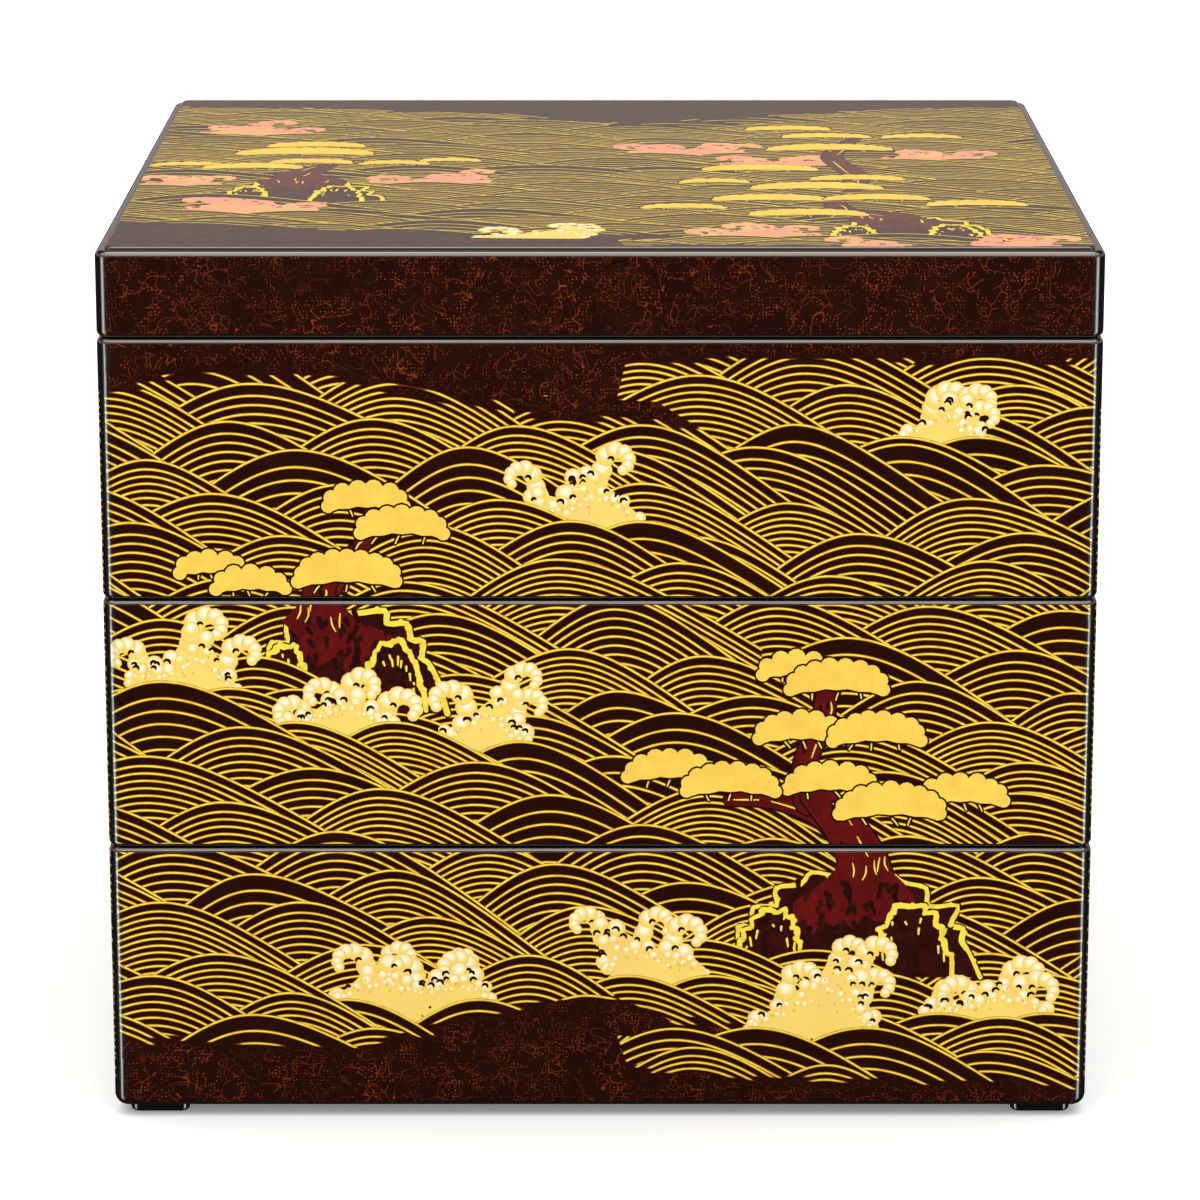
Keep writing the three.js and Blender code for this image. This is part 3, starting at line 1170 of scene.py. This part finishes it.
def side_patch(shape, vertex_at, side, corner, base, rim, base_covered):
    """The part of a side that the picture covers: the flat and a little of the round corners and edges."""
    way, along = SIDES[side]
    flat = REACH - corner
    columns = []
    for sign in (-1, 1):
        turns = arc_steps(corner, math.pi / 2 / CORNER_STEPS, CORNER_COVERED)
        for turn, run in (reversed(turns) if sign < 0 else turns):
            columns.append((sign * (flat + run) / MM, sign * flat, sign * turn))
    rows = []
    for sign, (height, radius), covered in ((-1, base, base_covered), (1, rim, RIM_COVERED)):
        turns = arc_steps(radius, math.pi / 2 / EDGE_STEPS, covered)
        for turn, run in (reversed(turns) if sign < 0 else turns):
            level = height - sign * radius
            inward = radius * (1 - math.cos(turn))
            rows.append(((level + sign * run) / MM, level + sign * radius * math.sin(turn), inward))
    nodes = []
    for _, start, turn in columns:
        line = []
        for _, z, inward in rows:
            across = start + (corner - inward) * math.sin(turn)
            out = flat + (corner - inward) * math.cos(turn)
            line.append(vertex_at(along * across + way * out + UP * z))
        nodes.append(line)
    xs, ys = [column[0] for column in columns], [row[0] for row in rows]
    last_x, last_y = len(xs) - 1, len(ys) - 1
    order = [(i, 0) for i in range(last_x)] + [(last_x, j) for j in range(last_y)]
    order += [(i, last_y) for i in range(last_x, 0, -1)] + [(0, j) for j in range(last_y, 0, -1)]
    folds = [((x, ys[0]), (x, ys[-1])) for x in xs[1:-1]] + [((xs[0], y), (xs[-1], y)) for y in ys[1:-1]]
    places = [[vertex.co.copy() for vertex in line] for line in nodes]

    def place(x, y):
        i = min(max(bisect_right(xs, x) - 1, 0), last_x - 1)
        j = min(max(bisect_right(ys, y) - 1, 0), last_y - 1)
        s, t = (x - xs[i]) / (xs[i + 1] - xs[i]), (y - ys[j]) / (ys[j + 1] - ys[j])
        low = places[i][j].lerp(places[i + 1][j], s)
        return low.lerp(places[i][j + 1].lerp(places[i + 1][j + 1], s), t)

    faces = []
    for i in range(last_x):
        for j in range(last_y):
            face = shape.faces.get((nodes[i][j], nodes[i + 1][j], nodes[i + 1][j + 1], nodes[i][j + 1]))
            if face is None:
                raise RuntimeError(f"the shell has no face at column {i} and row {j} of its {side} side")
            faces.append(face)
    ring = [(nodes[i][j], (xs[i], ys[j])) for i, j in order]
    return Patch(ring, folds, place, faces, (xs[0], xs[-1], ys[0], ys[-1]))


def top_patch(shape):
    """The flat of the lid's raised panel."""
    face = next(f for f in shape.faces if f.normal.z > 0.9999 and f.calc_area() > 0.5 * REACH * REACH)
    top = face.verts[0].co.z
    ring = [(vertex, (vertex.co.x / MM, vertex.co.y / MM)) for vertex in face.verts]
    xs, ys = zip(*(place for _, place in ring))
    return Patch(
        ring, [], lambda x, y: Vector((x * MM, y * MM, top)), [face], (min(xs), max(xs), min(ys), max(ys)),
    )


# How near to a line a point lies on it, and the shortest edge that is kept, in millimetres.
NEAR = 2e-3
SMALLEST = 1e-3


def ring_vertices(shape, ring, spots, border):
    """Splits a ring of edges where border spots lie on it. Gives the vertices by the spots' numbers."""
    found = {}
    for (start, a), (end, b) in zip(ring, ring[1:] + ring[:1]):
        run = Vector(b) - Vector(a)
        size = run.length
        marks = []
        for k in border - set(found):
            off = Vector(spots[k]) - Vector(a)
            along = off.dot(run) / size
            if abs(off.x * run.y - off.y * run.x) / size > NEAR or not -NEAR < along < size + NEAR:
                continue
            if along < NEAR:
                found[k] = start
            elif along > size - NEAR:
                found[k] = end
            else:
                marks.append((along, k))
        first, last, done = start.co.copy(), end.co.copy(), 0.0
        for along, k in sorted(marks):
            edge = shape.edges.get((start, end))
            _, start = bmesh.utils.edge_split(edge, start, (along - done) / (size - done))
            start.co = first.lerp(last, along / size)
            found[k], done = start, along
    return found


def inlay(shape, patch, picture, corner_of_map):
    """Replaces the faces of a patch with the picture's triangles, joined to what is round it."""
    spots, triangles = picture.window([place for _, place in patch.ring], patch.folds)
    uses = Counter()
    for corners, _ in triangles:
        for a, b in zip(corners, [*corners[1:], corners[0]]):
            uses[min(a, b), max(a, b)] += 1
    border = {k for edge, count in uses.items() if count == 1 for k in edge}
    kept = {vertex for vertex, _ in patch.ring}
    inner = {vertex for face in patch.faces for vertex in face.verts} - kept
    bmesh.ops.delete(shape, geom=patch.faces, context="FACES_ONLY")
    bmesh.ops.delete(shape, geom=list(inner), context="VERTS")
    vertices = ring_vertices(shape, patch.ring, spots, border)
    missing = border - set(vertices)
    if missing:
        raise RuntimeError(f"{len(missing)} points of the picture miss the border of its patch")
    for corners, _ in triangles:
        for k in corners:
            if k not in vertices:
                vertices[k] = shape.verts.new(patch.place(*spots[k]))
    local, baked = (shape.loops.layers.uv[name] for name in (PICTURE_MAP, BAKE_MAP))
    swells, cuts = (shape.faces.layers.float_vector[name] for name in (SWELL, CUT))
    pitches = shape.faces.layers.float[PITCH]
    for corners, figure in triangles:
        ring = [vertices[k] for k in corners]
        if len(set(ring)) < 3 or shape.faces.get(ring):
            continue
        new = shape.faces.new(ring)
        new.tag = True
        for loop, k in zip(new.loops, corners):
            loop[baked].uv = map_place(patch, corner_of_map, *spots[k])
        if figure is None:
            new.material_index = FLECK
            continue
        new.material_index = figure.finish
        new[swells], new[cuts], new[pitches] = figure.swell, figure.cut, figure.pitch
        cos, sin = math.cos(figure.turn) / figure.size, math.sin(figure.turn) / figure.size
        for loop, k in zip(new.loops, corners):
            dx, dy = spots[k][0] - figure.middle[0], spots[k][1] - figure.middle[1]
            loop[local].uv = dx * cos + dy * sin, dy * cos - dx * sin
    close = {edge for face in shape.faces if face.tag for edge in face.edges}
    bmesh.ops.dissolve_degenerate(shape, dist=SMALLEST * MM, edges=list(close))


# The map for a baked picture: its scale in millimetres across the whole map, its empty edge, the height
# of the row for one side, and the strip at its right that takes all the plain faces.
MAP_SPAN = 216
MAP_EDGE = 0.004
MAP_ROW = 0.25
PLAIN_STRIP = 0.95


def map_place(patch, corner_of_map, x, y):
    start, low = corner_of_map
    return start + (x - patch.area[0]) / MAP_SPAN, low + (y - patch.area[2]) / MAP_SPAN


def map_plain_faces(shape):
    """Puts every face that isn't in the picture into the map's strip for plain faces."""
    baked = shape.loops.layers.uv[BAKE_MAP]
    low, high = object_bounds()
    for face in shape.faces:
        if face.tag:
            continue
        axis = max(range(3), key=lambda k: abs(face.normal[k]))
        across, up = (k for k in range(3) if k != axis)
        for loop in face.loops:
            shares = [(loop.vert.co[k] - low[k]) / (high[k] - low[k]) for k in (across, up)]
            start = PLAIN_STRIP + (1 - MAP_EDGE - PLAIN_STRIP) * (axis + shares[0]) / 3
            loop[baked].uv = start, MAP_EDGE + (1 - 2 * MAP_EDGE) * shares[1]


def open_layers(mesh):
    """A shape from the mesh, with the layers that the picture needs."""
    shape = bmesh.new()
    shape.from_mesh(mesh)
    for name in (PICTURE_MAP, BAKE_MAP):
        shape.loops.layers.uv.new(name)
    for name in (SWELL, CUT):
        shape.faces.layers.float_vector.new(name)
    shape.faces.layers.float.new(PITCH)
    for face in shape.faces:
        face.tag = False
    return shape


def dress(block, finishes, node, slot):
    """Gives a finished shell its smooth shading and finishes, and hangs it on the frame."""
    bpy.ops.object.select_all(action="DESELECT")
    block.select_set(True)
    bpy.context.view_layer.objects.active = block
    bpy.ops.object.mode_set(mode="EDIT")
    bpy.ops.mesh.select_mode(type="FACE")
    for flat, strength in ((False, "WEAK"), (True, "STRONG")):
        bpy.ops.mesh.select_all(action="DESELECT")
        shape = bmesh.from_edit_mesh(block.data)
        for face in shape.faces:
            face.select_set((max(abs(c) for c in face.normal) > 0.99999) == flat)
        bmesh.update_edit_mesh(block.data)
        bpy.ops.mesh.mod_weighted_strength(set=True, face_strength=strength)
    bpy.ops.object.mode_set(mode="OBJECT")
    bpy.ops.object.shade_smooth_by_angle(angle=math.radians(35))
    modifier = block.modifiers.new("even", "WEIGHTED_NORMAL")
    modifier.use_face_influence, modifier.keep_sharp = True, True
    bpy.ops.object.modifier_apply(modifier=modifier.name)
    for finish in finishes:
        block.data.materials.append(finish)
    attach(block, BODY)
    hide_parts(node)


def close_layers(shape, block):
    map_plain_faces(shape)
    shape.to_mesh(block.data)
    shape.free()


class LACQUERBOX_OT_tiers(bpy.types.Operator):
    """Make the three tiers, each with its stretch of the picture on all four sides"""

    bl_idname = "lacquerbox.tiers"
    bl_label = "Tiers"

    def execute(self, context):
        scene = context.scene
        sizes, settings = scene.lacquer_sizes, scene.lacquer_picture
        finishes = make_finishes(scene)
        reach = REACH / MM
        area = -reach, reach, 0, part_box(LID)[0][2] / MM
        pictures = {"front": front_picture(settings, area)}
        for number, side in enumerate(("right", "back", "left"), 1):
            pictures[side] = side_picture(settings, area, number)
        for name in TIERS:
            block, base, rim = tier_shell(name, sizes)
            shape = open_layers(block.data)
            vertex_at = nearest_vertices(shape)
            covered = BASE_COVERED + (name == TIERS[0])
            for number, side in enumerate(SIDES):
                patch = side_patch(shape, vertex_at, side, sizes.corner, base, rim, covered)
                inlay(shape, patch, pictures[side], (MAP_EDGE, MAP_EDGE + MAP_ROW * number))
            close_layers(shape, block)
            dress(block, finishes, name, TIER_SLOT)
        return {"FINISHED"}


class LACQUERBOX_OT_lid(bpy.types.Operator):
    """Make the lid, with its plain rim and the picture on its raised panel"""

    bl_idname = "lacquerbox.lid"
    bl_label = "Lid"

    def execute(self, context):
        scene = context.scene
        sizes = scene.lacquer_sizes
        block, base, rim = lid_shell(sizes)
        shape = open_layers(block.data)
        vertex_at = nearest_vertices(shape)
        for side in SIDES:
            for face in side_patch(shape, vertex_at, side, sizes.corner, base, rim, BASE_COVERED).faces:
                face.material_index = FLECK
        patch = top_patch(shape)
        inlay(shape, patch, lid_picture(scene.lacquer_picture, patch.area), (MAP_EDGE, MAP_EDGE))
        close_layers(shape, block)
        dress(block, make_finishes(scene), LID, LID_SLOT)
        return {"FINISHED"}


class LACQUERBOX_OT_stage(bpy.types.Operator):
    """Set the camera, the pale floor and the soft light"""

    bl_idname = "lacquerbox.stage"
    bl_label = "Stage"

    def execute(self, context):
        scene = context.scene
        stage = scene.lacquer_stage
        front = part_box(LID)[0][1]
        bpy.ops.object.select_all(action="DESELECT")
        bpy.ops.object.camera_add(
            location=(0, front - stage.distance, stage.height), rotation=(math.pi / 2 - stage.tilt, 0, 0),
        )
        camera = context.active_object
        camera.data.lens, camera.data.sensor_width = stage.lens, 36
        camera.data.clip_end = 100
        scene.camera = camera
        bpy.ops.mesh.primitive_circle_add(vertices=96, radius=12, fill_type="NGON", location=(0, 0, 0))
        floor = context.active_object
        floor.name = "floor"
        paper = material("floor_paper")
        values = {"Base Color": (0.88, 0.88, 0.88, 1), "Roughness": 1.0, "Specular IOR Level": 0.0}
        values.update({"Emission Color": (1, 1, 1, 1), "Emission Strength": stage.glow})
        surface = paper.add("ShaderNodeBsdfPrincipled", (), values)
        paper.add("ShaderNodeOutputMaterial", (), {"Surface": surface})
        floor.data.materials.append(paper.owner)
        floor.visible_glossy = False
        floor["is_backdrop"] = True
        self.surroundings(scene, stage)
        scene.view_settings.view_transform = "Standard"
        return {"FINISHED"}

    def surroundings(self, scene, stage):
        """White to the eye. It lights from above, and lacquer mirrors a low haze, a ring, strips and a
        light overhead."""
        scene.world = bpy.data.worlds.new("surroundings")
        sky = Nodes(scene.world)
        x, y, z = sky.parts(sky.add("ShaderNodeTexCoord", output="Generated"))
        across = abs(x) / (x * x + y * y).root().most(0.001)
        front = y.maths("LESS_THAN", 0)
        strips = across.rising(0.78, 0.1) * across.falling(0.94, 0.03)
        strips = strips * z.rising(-0.7, 0.2) * z.falling(-0.06, 0.1)
        ring = z.rising(0.56, 0.08) * z.falling(0.82, 0.05)
        haze = z.rising(0.01, 0.03) * z.falling(0.38, 0.16)
        overhead = z.rising(0.9, 0.08)
        ahead = front * (strips * stage.strips + ring * stage.ring)
        mirrored = ahead + haze * stage.haze + overhead * stage.overhead + 0.015
        above = z.most(0)
        soft = above * above * stage.sky + 0.15
        seen, mirror = (
            sky.add("ShaderNodeLightPath", output=name) for name in ("Is Camera Ray", "Is Glossy Ray")
        )
        strength = seen + (1 - seen) * (mirror * mirrored + (1 - mirror) * soft)
        tint = sky.mix(mirror * z.rising(0.1, 0.2), (1, 1, 1), (1, 0.83, 0.72))
        background = sky.add("ShaderNodeBackground", (), {"Color": tint, "Strength": strength})
        sky.add("ShaderNodeOutputWorld", (), {"Surface": background})


class LACQUERBOX_PT_panel(bpy.types.Panel):
    bl_label = "Lacquer Box"
    bl_space_type = "VIEW_3D"
    bl_region_type = "UI"
    bl_category = "Lacquer Box"

    def draw(self, context):
        for name in GROUPS:
            group = getattr(context.scene, name)
            column = self.layout.column(align=True)
            for key in group.bl_rna.properties.keys():
                if key not in ("rna_type", "name"):
                    column.prop(group, key)
        for step in STEPS:
            self.layout.operator(step.bl_idname)


GROUPS = {
    "lacquer_sizes": LacquerBoxSizes,
    "lacquer_picture": LacquerBoxPicture,
    "lacquer_colours": LacquerBoxColours,
    "lacquer_stage": LacquerBoxStage,
}
STEPS = (LACQUERBOX_OT_tiers, LACQUERBOX_OT_lid, LACQUERBOX_OT_stage)


def register():
    for group in (*GROUPS.values(), *STEPS, LACQUERBOX_PT_panel):
        bpy.utils.register_class(group)
    for name, group in GROUPS.items():
        setattr(bpy.types.Scene, name, bpy.props.PointerProperty(type=group))


def unregister():
    for name in GROUPS:
        delattr(bpy.types.Scene, name)
    for group in (LACQUERBOX_PT_panel, *reversed(STEPS), *reversed(GROUPS.values())):
        bpy.utils.unregister_class(group)


def main():
    register()
    bpy.ops.lacquerbox.tiers()
    bpy.ops.lacquerbox.lid()
    bpy.ops.lacquerbox.stage()


if __name__ == "__main__":
    main()
